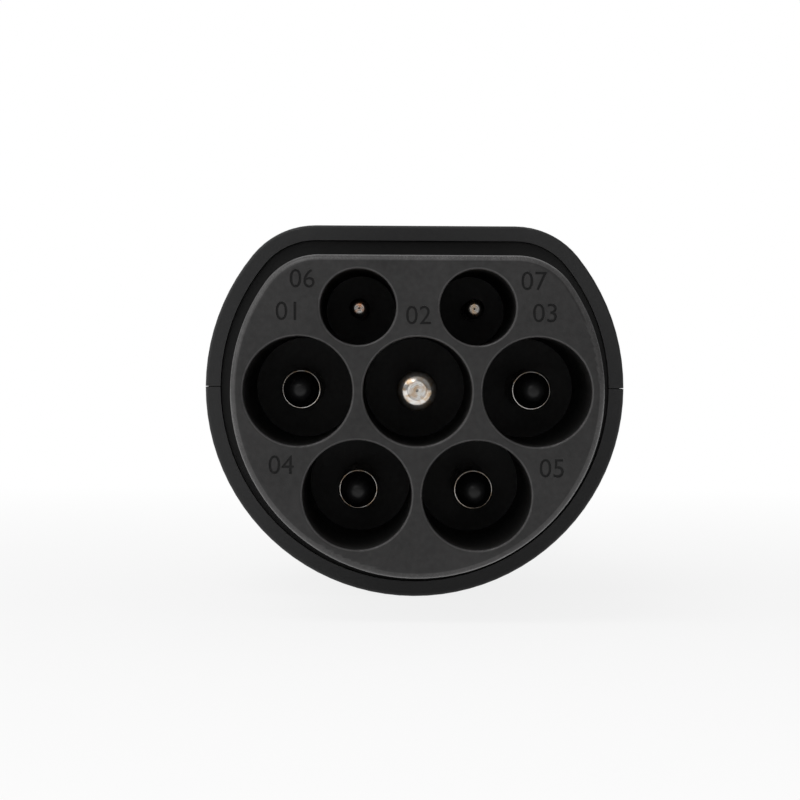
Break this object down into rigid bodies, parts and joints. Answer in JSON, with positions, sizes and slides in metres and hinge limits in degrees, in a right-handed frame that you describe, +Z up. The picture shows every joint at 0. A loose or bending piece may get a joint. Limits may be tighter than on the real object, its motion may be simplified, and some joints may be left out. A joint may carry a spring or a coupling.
{
  "type": "ev charging plug",
  "caption": "D-shaped AC charging plug with recessed pins in round wells, a two-shell curved grip and a cable gland.",
  "frame": {"origin": "at the foot of the earth pin, on its axis, where it leaves the floor of its well; the front of the housing's lip lies in the same plane", "axes": "-Y along the pins, the way the plug goes in; +Y to the cable; +Z up to the flat of the D; +X to the right seen from the pins"},
  "size_m": [0.067, 0.2543, 0.0594],
  "materials": {
    "carrier_plastic": "fine moulded grain",
    "housing_plastic": "fine spark-eroded grain",
    "retainer_plastic": "plain moulded",
    "tip_plastic": "satin moulded",
    "gland_plastic": "plain moulded",
    "claw_plastic": "plain moulded",
    "rubber_seal": "matt",
    "pin_plating": "turned and silver plated",
    "insert_brass": "knurled brass",
    "screw_steel": "zinc plated",
    "board": "green solder mask",
    "resistor_ceramic": "matt black"
  },
  "bodies": {
    "root": {"coding_board": "board", "coding_resistor": "resistor_ceramic", "contact_carrier": "carrier_plastic", "contact_seal": "rubber_seal", "earth_pin": "pin_plating", "front_gasket": "rubber_seal", "gland_body": "gland_plastic", "gland_claw": "claw_plastic", "gland_gasket": "rubber_seal", "gland_nut": "gland_plastic", "gland_seal": "rubber_seal", "line_pin_1": "pin_plating", "line_pin_2": "pin_plating", "line_pin_3": "pin_plating", "line_tip_1": "tip_plastic", "line_tip_2": "tip_plastic", "line_tip_3": "tip_plastic", "lower_shell": "housing_plastic", "neutral_pin": "pin_plating", "neutral_tip": "tip_plastic", "pilot_pin": "pin_plating", "proximity_pin": "pin_plating", "rear_retainer": "retainer_plastic", "retainer_screws": "screw_steel", "shell_inserts": "insert_brass", "shell_screws": "screw_steel", "upper_shell": "housing_plastic"}
  },
  "joints": []
}
